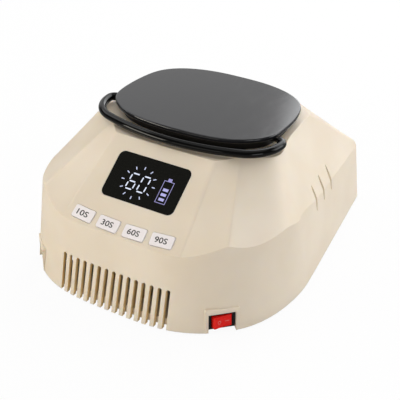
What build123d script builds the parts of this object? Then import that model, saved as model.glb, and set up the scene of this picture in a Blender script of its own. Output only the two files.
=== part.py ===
from build123d import *
from math import asin, cos, degrees, hypot, radians, sin, sqrt, tan
import os

os.makedirs("parts", exist_ok=True)

# A cordless lamp that cures nail gel: a drafted bowl of moulded plastic with a
# faceted top, open towards +Y for the hand, with keys and display facing -Y.
# Millimetres, +Z up, the origin on the table under the middle of the lamp.

# Overall heights above the table
rim_z = 1.2
deck_z = 84.2
facet_base_z = 31.2

# Plan of the bowl's rim, right half, from the middle of the front backwards
rim_front_y = -100.2
rim_shoulder = (52.3, -92.3)
rim_corner = (80.4, -65.3)
rim_widest = (89.3, -24.0)
rim_flank = (86.6, 4.0)
rim_rear = (73.6, 100.2)

# Plan of the drafted bowl carried up to the height of the deck
draft_front_y = -77.5
draft_shoulder = (52.9, -76.3)
draft_corner = (72.4, -61.4)
draft_widest = (82.5, -26.8)
draft_flank = (73.3, 4.0)
draft_rear = (64.7, 98.6)

# The sides narrow backwards by this much for each millimetre of depth
flank_narrowing = 0.135

# Facets of the top, given by their corners at the deck and at the facet base
panel_tilt = 37.0
deck_front_y = -38.0
deck_rear_y = 60.0
facet_base_rear_y = 121.0
panel_edge_top_x = 35.3
panel_edge_base_x = 44.3
corner_edge_top = (45.6, -26.2)
corner_edge_base = (82.8, -115.7)
side_top = [(52.5, -22.5), (63.0, -14.5), (60.5, 5.7), (57.5, 28.0)]
side_base = [(92.8, -87.6), (101.5, -58.2), (92.0, -17.7), (82.3, 36.0)]
roof_edge_top = (56.5, 46.5)
roof_edge_base = (71.8, 118.5)
roof_inner_top_x = 40.0
roof_inner_base_x = 62.0
crease_round = 4.0

# Moulding and fits
wall = 2.5
rest_gap = 0.3
key_gap = 0.2
running_gap = 0.08
through_cut = 5.0
mouth_cut = 10.0
boss_radius = 3.5
slim_boss_radius = 2.6
rib_thickness = 1.6

# Vents through the front of the skirt
vent_count = 15
vent_pitch = 5.3
vent_width = 2.6
vent_top_z = 26.0
vent_reach = 14.0

# Shallow grooves across the crease of each side
groove_places = (15.0, 29.0, 43.5)
groove_width = 2.6
groove_length = 17.0
groove_depth = 1.1
groove_z = 44.6

# Corner frames for the switch and the inlet
frame_corner = (66.75, -81.15)
frame_turn = 45.0
frame_width = 20.4
frame_round = 0.8
fitting_room = 15.0
frame_top_z = 17.0
recess_width = 16.4
recess_top_z = 13.9
recess_depth = 3.1
recess_wall = 2.0
fitting_z = 8.0

# Display window, measured down the panel from the deck's front edge
display_down = 24.9
lens_width = 51.0
lens_height = 30.6
lens_corner = 4.0
lens_thickness = 1.5
window_width = 46.0
window_height = 26.0
module_width = 48.0
module_height = 27.0

# Keys, in a shallow arc below the display
key_names = ["button_10s", "button_30s", "button_60s", "button_90s"]
key_width = 14.9
key_height = 8.0
key_corner = 1.2
key_pitch = 18.6
key_row_x = -1.0
key_down = 56.6
key_arc_radius = 330.0
key_proud = 0.5
key_travel = 0.5
key_flange = 1.2
key_flange_height = 6.0
key_flange_thickness = 0.8
key_stem_radius = 1.5
key_round = 0.4

# Control board behind the panel
board_depth = 9.0
board_thickness = 1.6
board_width = 84.0
board_top_down = 6.9
board_bottom_down = 62.0
board_hole_inset = 4.0
board_low_hole_inset = 16.0
switch_size = 6.0
switch_height = 3.2
switch_stem_radius = 1.7
switch_stem_height = 1.1

# Hand space, hood and base
hand_half_width = 56.0
hand_front_y = -52.0
hand_corner_radius = 40.0
hand_ceiling_z = 54.0
hand_mouth_z = 40.0
hood_slope_z = 36.0
hood_ceiling_half_width = 42.0
hood_front_slope = (-26.0, 38.0)
hood_rear_slope_y = 76.0
hood_wall = 1.2
hood_flange = 4.0
hood_lug_radius = 3.4
hood_rear_gap = 0.8
hood_flange_rear_y = 90.0
hood_overrun = 20.0
mouth_corner = 9.0

bottom_lift = 1.4
bottom_thickness = 4.0
lip_overlap = 6.0
tray_thickness = 1.8
tray_lift = 0.2
tray_corner_radius = 40.0
tray_rear_y = 99.6
tray_front_y = -50.0
pull_half_width = 24.0
pull_height = 3.0
pull_thickness = 2.0

# Magnets
magnet_radius = 2.0
magnet_thickness = 1.2
magnet_places = [(59.2, 8.0), (59.2, 80.0)]

# Feet
foot_radius = 4.5
foot_recess = 0.8
foot_places = [(34.0, -76.0), (69.0, 62.0)]

# Screws
screw_radius = 1.5
screw_head_radius = 2.8
screw_head_height = 1.8
front_screw_bay = 2.5
front_screw_place = (front_screw_bay * vent_pitch, -80.0)
side_screw_places = [(77.0, -12.0), (68.0, 84.0)]
frame_screw_places = [front_screw_place] + side_screw_places
frame_boss_top_z = 26.0
frame_screw_length = 12.0
cap_screw_bite = 2.4
small_screw_radius = 1.0
small_head_radius = 2.0
small_head_height = 1.3
small_screw_length = 5.0
hood_screw_places = [(65.6, 2.0), (65.6, 56.0)]
cap_screw_places = [(30.0, -8.0), (30.0, 38.0)]

# Battery
cell_radius = 9.2
cell_length = 65.0
cell_count = 4
cell_pitch = 19.2
cell_rear_y = 44.7
cell_axis_z = 70.2
cell_clearance = 0.2
cell_end_gap = 0.5
cradle_wall = 2.0
cradle_height = 7.8
cradle_end_height = 12.0
cradle_floor_z = 59.6
cradle_ear_width = 8.0
cradle_ear_places = (-14.0, 38.0)
cradle_ear_thickness = 2.2

# Curing lights
bead_radius = 2.5
bead_length = 3.9
bead_round = 2.3
led_board_thickness = 1.6
led_hole_gap = 0.2
roof_board_y = 25.0
roof_board_size = (76.0, 90.0)
side_board_y = 25.0
side_board_size = (84.0, 14.0)
front_board_size = (48.0, 14.0)

# Cap and its handle
neck_height = 6.0
cap_height = 2.8
cap_front = (0.0, -29.9)
cap_front_curve = [(20.0, -28.8), (37.0, -24.7), (48.8, -17.4), (55.9, -8.4)]
cap_widest = (58.4, 5.5)
cap_rear_curve = [(57.2, 24.5), (52.8, 39.0), (43.5, 48.6), (32.0, 54.0), (17.0, 57.2)]
cap_rear = (0.0, 57.9)
cap_top_round = 1.0
cap_under_round = 0.6
neck_inset = 4.5
handle_radius = 2.6
handle_lift = 1.4
handle_front_y = -36.5
handle_front_bend = 141.0
handle_front_turn = 19.6
handle_corner_bend = 23.1
handle_elbow_bend = 3.9
handle_pivot_radius = 1.2
handle_pivot_reach = 5.0

# Rocker switch and inlet
bezel_width = 16.0
bezel_height = 11.0
bezel_thickness = 1.6
bezel_round = 0.4
switch_body_width = 14.0
switch_body_height = 9.8
switch_body_depth = 12.5
rocker_radius = 6.0
rocker_height = 8.0
rocker_face = 2.3
rocker_dish = 5.0
rocker_tilt = 11.0
rocker_keel = 3.0
rocker_pin_radius = 0.8
rocker_pin_reach = 0.5
rocker_side_gap = 0.25
rocker_axis_depth = 1.1
jack_width = 9.0
jack_height = 10.4
jack_body_depth = 12.0
jack_nose_radius = 4.0
jack_bore_radius = 3.1
jack_bore_depth = 9.0
jack_pin_radius = 1.0
jack_nose_proud = 0.5


def drawn_in(points, inset):
    """A half outline, from front to rear, moved inwards square to its own run."""
    chain = [(-points[1][0], points[1][1])] + points + [(-points[-2][0], points[-2][1])]
    moved = []
    for before, here, after in zip(chain, chain[1:], chain[2:]):
        run_in = hypot(here[0] - before[0], here[1] - before[1])
        run_out = hypot(after[0] - here[0], after[1] - here[1])
        square_in = (-(here[1] - before[1]) / run_in, (here[0] - before[0]) / run_in)
        square_out = (-(after[1] - here[1]) / run_out, (after[0] - here[0]) / run_out)
        both = (square_in[0] + square_out[0], square_in[1] + square_out[1])
        reach = inset / (both[0] * square_in[0] + both[1] * square_in[1])
        moved.append((here[0] + both[0] * reach, here[1] + both[1] * reach))
    return moved


def bowl_plan(level, front_y, stations, rear, inset):
    """Plan of the drafted bowl at one height, drawn in by an inset."""
    points = drawn_in([(0, front_y)] + stations + [rear, (0, rear[1])], inset)
    with BuildSketch(Plane.XY.offset(level)) as plan:
        with BuildLine():
            Spline(*points[:-2], tangents=[(1, 0), (-flank_narrowing, 1)])
            Polyline(points[-3:])
            mirror(about=Plane.YZ)
        make_face()
    return plan.sketch


def facet_plan(level, front_y, panel_x, corner, side, edge, inner_x, rear_y, inset):
    """Plan of the faceted top at one height, drawn in by an inset."""
    half = [(0, front_y), (panel_x, front_y), corner] + side + [edge, (inner_x, rear_y), (0, rear_y)]
    points = drawn_in(half, inset)
    with BuildSketch(Plane.XY.offset(level)) as plan:
        with BuildLine():
            Polyline(points[:3])
            Spline(*points[2:-2])
            Polyline(points[-3:])
            mirror(about=Plane.YZ)
        make_face()
        fillet([corner for corner in plan.vertices() if abs(corner.X) > wall], crease_round)
    return plan.sketch


panel_base_y = deck_front_y - (deck_z - facet_base_z) / tan(radians(panel_tilt))
rim_stations = [rim_shoulder, rim_corner, rim_widest, rim_flank]
draft_stations = [draft_shoulder, draft_corner, draft_widest, draft_flank]
plan_size = 300.0


def dome(inset):
    """The lamp's outer form, drawn in by one wall thickness or less."""
    drop = inset * (1 - sin(radians(panel_tilt))) / cos(radians(panel_tilt))
    with BuildPart() as bowl:
        add(bowl_plan(rim_z, rim_front_y, rim_stations, rim_rear, inset))
        add(bowl_plan(deck_z, draft_front_y, draft_stations, draft_rear, inset))
        loft(ruled=True)
    with BuildPart() as facets:
        add(facet_plan(facet_base_z - drop, panel_base_y, panel_edge_base_x, corner_edge_base, side_base,
                       roof_edge_base, roof_inner_base_x, facet_base_rear_y, inset))
        add(facet_plan(deck_z - drop, deck_front_y, panel_edge_top_x, corner_edge_top, side_top,
                       roof_edge_top, roof_inner_top_x, deck_rear_y, inset))
        loft(ruled=True)
        Box(plan_size, plan_size, facet_base_z - drop, align=(Align.CENTER, Align.CENTER, Align.MIN))
    with BuildPart() as form:
        add(bowl.part)
        add(facets.part, mode=Mode.INTERSECT)
        with BuildSketch(Plane.XY.offset(deck_z - inset)):
            Rectangle(plan_size, plan_size)
        extrude(amount=inset + wall, mode=Mode.SUBTRACT)
    return form.part


def mirrored(places):
    """Each place and its twin on the other side of the lamp."""
    return [(side * x, y) for x, y in places for side in (-1, 1)]


# Planes that the fittings are set out on: the panel, and the two corner frames
panel = Plane(origin=(0, deck_front_y, deck_z), x_dir=(1, 0, 0),
              z_dir=(0, -sin(radians(panel_tilt)), cos(radians(panel_tilt))))
turn_x = cos(radians(frame_turn))
turn_y = sin(radians(frame_turn))
right_frame = Plane(origin=(frame_corner[0], frame_corner[1], fitting_z), x_dir=(turn_x, turn_y, 0),
                    z_dir=(turn_y, -turn_x, 0))
left_frame = Plane(origin=(-frame_corner[0], frame_corner[1], fitting_z), x_dir=(turn_x, -turn_y, 0),
                   z_dir=(-turn_y, -turn_x, 0))

bottom_z = rim_z + bottom_lift
bottom_top_z = bottom_z + bottom_thickness
tray_z = bottom_z + tray_lift
tray_top_z = tray_z + tray_thickness
tray_half_width = hand_half_width + lip_overlap
lip_z = tray_top_z + rest_gap
board_mid_down = (board_top_down + board_bottom_down) / 2
board_length = board_bottom_down - board_top_down
board_holes = [(side * (board_width / 2 - board_hole_inset), -down)
               for side in (-1, 1)
               for down in (board_top_down + board_hole_inset, board_bottom_down - board_low_hole_inset)]
ear_half_width = cell_count * cell_pitch / 2 + cradle_wall + cradle_ear_width / 2
cradle_ears = [(side * ear_half_width, y) for side in (-1, 1) for y in cradle_ear_places]
cradle_ear_top_z = cradle_floor_z + cradle_ear_thickness


def key_places():
    """Centre and turn of each key, in panel coordinates, along a shallow arc."""
    places = []
    for number in range(len(key_names)):
        across = (number - (len(key_names) - 1) / 2) * key_pitch
        rise = key_arc_radius - sqrt(key_arc_radius ** 2 - across ** 2)
        places.append((key_row_x + across, rise - key_down, degrees(asin(across / key_arc_radius))))
    return places


def key_plane(place, depth):
    """A key's own plane, at a depth under the panel's face."""
    across, along, turn = place
    centre = panel.from_local_coords((across, along, -depth))
    along_key = panel.x_dir.rotate(Axis((0, 0, 0), panel.z_dir), turn)
    return Plane(origin=centre, x_dir=along_key, z_dir=panel.z_dir)


def recess_outline(plane):
    """Outline of the recess in a corner frame, from its top down to the rim."""
    with BuildSketch(plane) as outline:
        with Locations((0, (recess_top_z + rim_z) / 2 - fitting_z)):
            Rectangle(recess_width, recess_top_z - rim_z)
    return outline.sketch


def corner_frame_blocks():
    """Raised blocks round the switch and the inlet."""
    with BuildPart() as blocks:
        with BuildSketch(right_frame):
            with Locations((0, (frame_top_z + rim_z) / 2 - fitting_z)):
                Rectangle(frame_width, frame_top_z - rim_z)
        extrude(amount=-(recess_depth + recess_wall))
        fillet(blocks.faces().sort_by(Axis.Z)[-1].edges(), frame_round)
        mirror(about=Plane.YZ)
    return blocks.part


def inner_bosses(form):
    """Screw bosses and their ribs, trimmed by the form they stand in."""
    with BuildPart() as bosses:
        with BuildSketch(Plane.XY.offset(bottom_top_z)):
            for x, y in mirrored([front_screw_place]):
                with Locations((x, y)):
                    Circle(boss_radius)
                    Rectangle(rib_thickness, -rim_front_y, align=(Align.CENTER, Align.MAX))
            for x, y in mirrored(side_screw_places):
                with Locations((x, y)):
                    Circle(boss_radius)
                    Rectangle(rim_widest[0], rib_thickness,
                              align=(Align.MIN if x > 0 else Align.MAX, Align.CENTER))
        extrude(amount=frame_boss_top_z - bottom_top_z)
        with BuildSketch(Plane.XY.offset(cradle_ear_top_z)):
            with Locations(*cradle_ears):
                Circle(boss_radius)
        extrude(amount=deck_z - cradle_ear_top_z)
        with BuildSketch(panel.offset(-board_depth)):
            with Locations(*board_holes):
                Circle(slim_boss_radius)
        extrude(amount=board_depth)
        add(form, mode=Mode.INTERSECT)
    return bosses.part


def grooves():
    """Shallow grooves across the crease of both sides."""
    with BuildPart() as cut:
        with BuildSketch(Plane.YZ):
            for y in groove_places:
                with Locations((y, groove_z)):
                    Ellipse(groove_width / 2, groove_length / 2)
        extrude(amount=rim_widest[0], both=True)
        add(dome(groove_depth), mode=Mode.SUBTRACT)
    return cut.part


def hand_space(grow):
    """The room for the hand, or the hood's outside when grown by its wall."""
    rear_y = rim_rear[1] - wall - hood_rear_gap
    slope = (hand_ceiling_z - hand_mouth_z) / (rear_y - hood_rear_slope_y)
    low_z = bottom_top_z - deck_z
    beyond_y = rear_y + hood_overrun
    with BuildPart() as space:
        with BuildSketch(Plane.XY.offset(bottom_top_z)) as plan:
            with Locations((0, rear_y)):
                Rectangle(2 * (hand_half_width + grow), rear_y - hand_front_y + grow,
                          align=(Align.CENTER, Align.MAX))
            fillet(plan.vertices().group_by(Axis.Y)[0], hand_corner_radius + grow)
        extrude(amount=deck_z - bottom_top_z)
        with BuildSketch(Plane.YZ) as profile:
            Polygon((hand_front_y, low_z), (hand_front_y, hood_front_slope[1]),
                    (hood_front_slope[0], hand_ceiling_z), (hood_rear_slope_y, hand_ceiling_z),
                    (beyond_y, hand_mouth_z - slope * hood_overrun), (beyond_y, low_z), align=None)
            offset(amount=grow, kind=Kind.INTERSECTION)
        extrude(amount=deck_z, both=True, mode=Mode.INTERSECT)
        with BuildSketch(Plane.XZ) as section:
            Polygon((hand_half_width, low_z), (hand_half_width, hood_slope_z),
                    (hood_ceiling_half_width, hand_ceiling_z), (-hood_ceiling_half_width, hand_ceiling_z),
                    (-hand_half_width, hood_slope_z), (-hand_half_width, low_z), align=None)
            offset(amount=grow, kind=Kind.INTERSECTION)
        extrude(amount=2 * rim_rear[1], both=True, mode=Mode.INTERSECT)
    return space.part


def tray_plan(grow):
    """Plan of the pull-out base, or of its slot when grown by a gap."""
    with BuildSketch() as plan:
        with Locations((0, tray_rear_y)):
            Rectangle(2 * (tray_half_width + grow), tray_rear_y - tray_front_y + grow,
                      align=(Align.CENTER, Align.MAX))
        fillet(plan.vertices().group_by(Axis.Y)[0], tray_corner_radius + grow)
    return plan.sketch


def light_places(plane, columns, rows, column_pitch, row_pitch):
    """Where the curing lights of one board stand, as places on its plane."""
    spots = GridLocations(column_pitch, row_pitch, columns, rows).local_locations
    return [plane.location * spot for spot in spots]


def cap_plan(level, inset):
    """Plan of the cap at one height, drawn in by an inset."""
    right = drawn_in([cap_front] + cap_front_curve + [cap_widest] + cap_rear_curve + [cap_rear], inset)
    left = [(-x, y) for x, y in reversed(right[1:-1])]
    with BuildSketch(Plane.XY.offset(level)) as plan:
        with BuildLine():
            Spline(*right, *left, periodic=True)
        make_face()
    return plan.sketch


def write(piece, name):
    """Label one finished piece and write it out."""
    piece.label = name
    export_step(piece, f"parts/{name}.step")


# Light boards: centre, facing away from the hand, then lights across and along
roof_board_plane = Plane(origin=(0, roof_board_y, hand_ceiling_z), x_dir=(1, 0, 0), z_dir=(0, 0, 1))
side_rise = hand_ceiling_z - hood_slope_z
side_run = hand_half_width - hood_ceiling_half_width
side_middle = (hand_half_width + hood_ceiling_half_width) / 2
side_middle_z = (hand_ceiling_z + hood_slope_z) / 2
right_board_plane = Plane(origin=(side_middle, side_board_y, side_middle_z), x_dir=(0, 1, 0),
                          z_dir=(side_rise, 0, side_run))
left_board_plane = Plane(origin=(-side_middle, side_board_y, side_middle_z), x_dir=(0, 1, 0),
                         z_dir=(-side_rise, 0, side_run))
front_rise = hand_ceiling_z - hood_front_slope[1]
front_run = hood_front_slope[0] - hand_front_y
front_middle_y = (hand_front_y + hood_front_slope[0]) / 2
front_middle_z = (hand_ceiling_z + hood_front_slope[1]) / 2
front_board_plane = Plane(origin=(0, front_middle_y, front_middle_z), x_dir=(1, 0, 0),
                          z_dir=(0, -front_rise, front_run))
light_boards = {
    "led_board_top": (roof_board_plane, roof_board_size, (3, 4)),
    "led_board_left": (left_board_plane, side_board_size, (6, 1)),
    "led_board_right": (right_board_plane, side_board_size, (6, 1)),
    "led_board_front": (front_board_plane, front_board_size, (3, 1)),
}


def board_lights(plane, size, counts):
    """Places of the lights on one board, evenly spaced over its size."""
    return light_places(plane, counts[0], counts[1], size[0] / counts[0], size[1] / counts[1])


all_lights = []
for plane, size, counts in light_boards.values():
    all_lights += board_lights(plane, size, counts)

# The shell, with bosses inside and frames at the front corners
outer_form = dome(0)
with BuildPart() as upper_housing:
    add(outer_form)
    add(dome(wall), mode=Mode.SUBTRACT)
    add(inner_bosses(outer_form))
    add(corner_frame_blocks())

    # Recesses of the corner frames, then the holes for the switch and the inlet
    for plane in (right_frame, left_frame):
        extrude(recess_outline(plane.offset(wall)), amount=-wall - recess_depth, mode=Mode.SUBTRACT)
    with BuildSketch(right_frame):
        Rectangle(switch_body_width + 2 * running_gap, switch_body_height + 2 * running_gap)
    extrude(amount=-(recess_depth + recess_wall + through_cut), mode=Mode.SUBTRACT)
    with BuildSketch(left_frame):
        Circle(jack_nose_radius + running_gap)
    extrude(amount=-(recess_depth + recess_wall + through_cut), mode=Mode.SUBTRACT)

    # Vents, round at the top and open at the rim
    with BuildSketch(Plane.XZ.offset(-rim_front_y)):
        with Locations((0, vent_top_z - vent_width / 2)):
            with GridLocations(vent_pitch, 1, vent_count, 1):
                Circle(vent_width / 2)
                Rectangle(vent_width, vent_top_z, align=(Align.CENTER, Align.MAX))
    extrude(amount=-vent_reach, mode=Mode.SUBTRACT)

    # Window with its ledge
    with BuildSketch(panel):
        with Locations((0, -display_down)):
            RectangleRounded(lens_width + 2 * running_gap, lens_height + 2 * running_gap, lens_corner)
    extrude(amount=-lens_thickness, mode=Mode.SUBTRACT)
    with BuildSketch(panel):
        with Locations((0, -display_down)):
            RectangleRounded(window_width, window_height, lens_corner)
    extrude(amount=-through_cut, mode=Mode.SUBTRACT)

    # Openings for the keys
    for place in key_places():
        with BuildSketch(key_plane(place, 0)):
            RectangleRounded(key_width + 2 * key_gap, key_height + 2 * key_gap, key_corner + key_gap)
        extrude(amount=-through_cut, mode=Mode.SUBTRACT)

    # Mouth for the hand and slot for the base
    with BuildSketch(Plane.XZ.offset(-rim_rear[1] - wall)) as mouth:
        with Locations((0, hand_mouth_z)):
            Rectangle(2 * hand_half_width, hand_mouth_z, align=(Align.CENTER, Align.MAX))
        fillet(mouth.vertices().group_by(Axis.Z)[-1], mouth_corner)
        Rectangle(2 * (tray_half_width + rest_gap), 2 * lip_z)
    extrude(amount=mouth_cut, mode=Mode.SUBTRACT)

    add(grooves(), mode=Mode.SUBTRACT)

    # Pilot holes in the bosses, and clear holes for the cap screws
    with BuildSketch(Plane.XY.offset(bottom_top_z)):
        with Locations(*mirrored(frame_screw_places)):
            Circle(screw_radius)
    extrude(amount=frame_screw_length, mode=Mode.SUBTRACT)
    with BuildSketch(Plane.XY.offset(cradle_ear_top_z)):
        with Locations(*cradle_ears):
            Circle(small_screw_radius)
    extrude(amount=small_screw_length, mode=Mode.SUBTRACT)
    with BuildSketch(panel.offset(-board_depth)):
        with Locations(*board_holes):
            Circle(small_screw_radius)
    extrude(amount=small_screw_length - board_thickness, mode=Mode.SUBTRACT)
    with BuildSketch(Plane.XY.offset(deck_z)):
        with Locations(*mirrored(cap_screw_places)):
            Circle(screw_radius + running_gap)
    extrude(amount=-wall, mode=Mode.SUBTRACT)
write(upper_housing.part, "upper_housing")

# Bottom frame: closes the skirt round the base, with a lip over the base's edge
with BuildPart() as bottom_frame:
    with BuildSketch(Plane.XY.offset(bottom_z)):
        Rectangle(plan_size, plan_size)
    extrude(amount=bottom_thickness)
    add(dome(wall + rest_gap), mode=Mode.INTERSECT)
    with BuildSketch(Plane.XY.offset(bottom_z)) as hand_plan:
        with Locations((0, plan_size / 2)):
            Rectangle(2 * hand_half_width, plan_size / 2 - tray_front_y - lip_overlap,
                      align=(Align.CENTER, Align.MAX))
        fillet(hand_plan.vertices().group_by(Axis.Y)[0], tray_corner_radius - lip_overlap)
    extrude(amount=bottom_thickness, mode=Mode.SUBTRACT)
    with BuildSketch(Plane.XY.offset(bottom_z)):
        add(tray_plan(rest_gap))
    extrude(amount=lip_z - bottom_z, mode=Mode.SUBTRACT)
    for plane in (right_frame, left_frame):
        with BuildSketch(plane.offset(-recess_depth - recess_wall - fitting_room)):
            Rectangle(frame_width + 2 * rest_gap, plan_size)
        extrude(amount=plan_size, mode=Mode.SUBTRACT)
    with BuildSketch(Plane.XY.offset(bottom_z)):
        with Locations(*mirrored(frame_screw_places)):
            Circle(screw_head_radius + rest_gap)
    extrude(amount=screw_head_height + tray_lift, mode=Mode.SUBTRACT)
    with BuildSketch(Plane.XY.offset(bottom_z)):
        with Locations(*mirrored(frame_screw_places)):
            Circle(screw_radius + running_gap)
    extrude(amount=bottom_thickness, mode=Mode.SUBTRACT)
    with BuildSketch(Plane.XY.offset(bottom_top_z)):
        with Locations(*mirrored(hood_screw_places)):
            Circle(small_screw_radius)
    extrude(amount=-(small_screw_length - hood_wall), mode=Mode.SUBTRACT)
    with BuildSketch(Plane.XY.offset(bottom_z)):
        with Locations(*mirrored(foot_places)):
            Circle(foot_radius + running_gap)
    extrude(amount=foot_recess, mode=Mode.SUBTRACT)
    with BuildSketch(Plane.XY.offset(lip_z)):
        with Locations(*mirrored(magnet_places)):
            Circle(magnet_radius + running_gap)
    extrude(amount=magnet_thickness, mode=Mode.SUBTRACT)
write(bottom_frame.part, "bottom_frame")

# Base: a thin tray with a pull along its rear edge
with BuildPart() as base_tray:
    with BuildSketch(Plane.XY.offset(tray_z)):
        add(tray_plan(0))
    extrude(amount=tray_thickness)
    with BuildSketch(Plane.XY.offset(tray_top_z)):
        with Locations((0, tray_rear_y)):
            Rectangle(2 * pull_half_width, pull_thickness, align=(Align.CENTER, Align.MAX))
    extrude(amount=pull_height)
    with BuildSketch(Plane.XY.offset(tray_top_z)):
        with Locations(*mirrored(magnet_places)):
            Circle(magnet_radius + running_gap)
    extrude(amount=-magnet_thickness, mode=Mode.SUBTRACT)
write(base_tray.part, "base_tray")

with BuildPart() as tray_magnets:
    with BuildSketch(Plane.XY.offset(tray_top_z)):
        with Locations(*mirrored(magnet_places)):
            Circle(magnet_radius)
    extrude(amount=-magnet_thickness)
write(tray_magnets.part, "tray_magnets")

with BuildPart() as frame_magnets:
    with BuildSketch(Plane.XY.offset(lip_z)):
        with Locations(*mirrored(magnet_places)):
            Circle(magnet_radius)
    extrude(amount=magnet_thickness)
write(frame_magnets.part, "frame_magnets")

# Hood: the reflecting liner over the hand, on a flange with four lugs
with BuildPart() as reflector_liner:
    add(hand_space(hood_wall))
    with BuildSketch(Plane.XY.offset(bottom_top_z)) as flange:
        with Locations((0, hood_flange_rear_y)):
            Rectangle(2 * (hand_half_width + hood_wall + hood_flange),
                      hood_flange_rear_y - hand_front_y + hood_flange, align=(Align.CENTER, Align.MAX))
        fillet(flange.vertices().group_by(Axis.Y)[0], hand_corner_radius + hood_flange)
        with Locations(*mirrored(hood_screw_places)):
            Circle(hood_lug_radius)
        with Locations(*[(0, y) for x, y in hood_screw_places]):
            Rectangle(2 * hood_screw_places[0][0], 2 * hood_lug_radius)
    extrude(amount=hood_wall)
    add(hand_space(0), mode=Mode.SUBTRACT)
    with Locations(*all_lights):
        Cylinder(bead_radius + led_hole_gap, through_cut, mode=Mode.SUBTRACT)
    with BuildSketch(Plane.XY.offset(bottom_top_z)):
        with Locations(*mirrored(hood_screw_places)):
            Circle(small_screw_radius + running_gap)
    extrude(amount=hood_wall, mode=Mode.SUBTRACT)
write(reflector_liner.part, "reflector_liner")

# Boards on the back of the hood, and the lights through its holes
for name, (plane, size, counts) in light_boards.items():
    with BuildPart() as board:
        with BuildSketch(plane.offset(hood_wall)):
            Rectangle(*size)
        extrude(amount=led_board_thickness)
    write(board.part, name)

with BuildPart() as one_bead:
    Cylinder(bead_radius, bead_length, align=(Align.CENTER, Align.CENTER, Align.MAX))
    fillet(one_bead.edges().filter_by(GeomType.CIRCLE).sort_by(Axis.Z)[0], bead_round)
with BuildPart() as led_beads:
    for spot in all_lights:
        with Locations(spot * Location((0, 0, hood_wall))):
            add(one_bead.part)
write(led_beads.part, "led_beads")

# Battery: four cells in a cradle that hangs from the deck
cell_places = [((number - (cell_count - 1) / 2) * cell_pitch, cell_axis_z) for number in range(cell_count)]
cell_front_y = cell_rear_y - cell_length
cradle_half_width = cell_count * cell_pitch / 2 + cradle_wall
cradle_front_y = cell_front_y - cell_end_gap - cradle_wall
cradle_rear_y = cell_rear_y + cell_end_gap + cradle_wall
with BuildPart() as battery_holder:
    with BuildSketch(Plane.XY.offset(cradle_floor_z)):
        with Locations((0, cradle_front_y)):
            Rectangle(2 * cradle_half_width, cradle_rear_y - cradle_front_y,
                      align=(Align.CENTER, Align.MIN))
    extrude(amount=cradle_height)
    for end_y in (cradle_front_y, cradle_rear_y - cradle_wall):
        with BuildSketch(Plane.XY.offset(cradle_floor_z)):
            with Locations((0, end_y)):
                Rectangle(2 * cradle_half_width, cradle_wall, align=(Align.CENTER, Align.MIN))
        extrude(amount=cradle_end_height)
    with BuildSketch(Plane.XY.offset(cradle_floor_z)):
        for x, y in cradle_ears:
            with Locations((x, y)):
                Circle(boss_radius)
                Rectangle(cradle_ear_width, 2 * boss_radius,
                          align=(Align.MAX if x > 0 else Align.MIN, Align.CENTER))
    extrude(amount=cradle_ear_thickness)
    with BuildSketch(Plane.XZ.offset(-cell_rear_y - cell_end_gap)):
        with Locations(*cell_places):
            Circle(cell_radius + cell_clearance)
    extrude(amount=cell_length + 2 * cell_end_gap, mode=Mode.SUBTRACT)
    with BuildSketch(Plane.XY.offset(cradle_floor_z)):
        with Locations(*cradle_ears):
            Circle(small_screw_radius + running_gap)
    extrude(amount=cradle_ear_thickness, mode=Mode.SUBTRACT)
write(battery_holder.part, "battery_holder")

with BuildPart() as battery_cells:
    with BuildSketch(Plane.XZ.offset(-cell_rear_y)):
        with Locations(*cell_places):
            Circle(cell_radius)
    extrude(amount=cell_length)
write(battery_cells.part, "battery_cells")

# Control board, switches, display and keys, all parallel to the panel
with BuildPart() as control_board:
    with BuildSketch(panel.offset(-board_depth)):
        with Locations((0, -board_mid_down)):
            Rectangle(board_width, board_length)
        with Locations(*board_holes):
            Circle(small_screw_radius + running_gap, mode=Mode.SUBTRACT)
    extrude(amount=-board_thickness)
write(control_board.part, "control_board")

with BuildPart() as display_module:
    with BuildSketch(panel.offset(-board_depth)):
        with Locations((0, -display_down)):
            Rectangle(module_width, module_height)
    extrude(amount=board_depth - wall - running_gap)
write(display_module.part, "display_module")

with BuildPart() as display_lens:
    with BuildSketch(panel.offset(-lens_thickness)):
        with Locations((0, -display_down)):
            RectangleRounded(lens_width, lens_height, lens_corner)
    extrude(amount=lens_thickness)
write(display_lens.part, "display_lens")

with BuildPart() as tact_switches:
    for place in key_places():
        with BuildSketch(key_plane(place, board_depth)):
            Rectangle(switch_size, switch_size)
        extrude(amount=switch_height)
        with BuildSketch(key_plane(place, board_depth - switch_height)):
            Circle(switch_stem_radius)
        extrude(amount=switch_stem_height)
write(tact_switches.part, "tact_switches")

key_under = wall + rest_gap
stem_end = board_depth - switch_height - switch_stem_height - key_travel - running_gap
for name, place in zip(key_names, key_places()):
    with BuildPart() as key:
        with BuildSketch(key_plane(place, key_under)):
            RectangleRounded(key_width, key_height, key_corner)
        extrude(amount=key_under + key_proud)
        fillet(key.faces().sort_by(Axis(panel.origin, panel.z_dir))[-1].edges(), key_round)
        with BuildSketch(key_plane(place, key_under)):
            Rectangle(key_width + 2 * key_flange, key_flange_height)
        extrude(amount=-key_flange_thickness)
        with BuildSketch(key_plane(place, key_under)):
            Circle(key_stem_radius)
        extrude(amount=-(stem_end - key_under))
    write(key.part, name)

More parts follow.
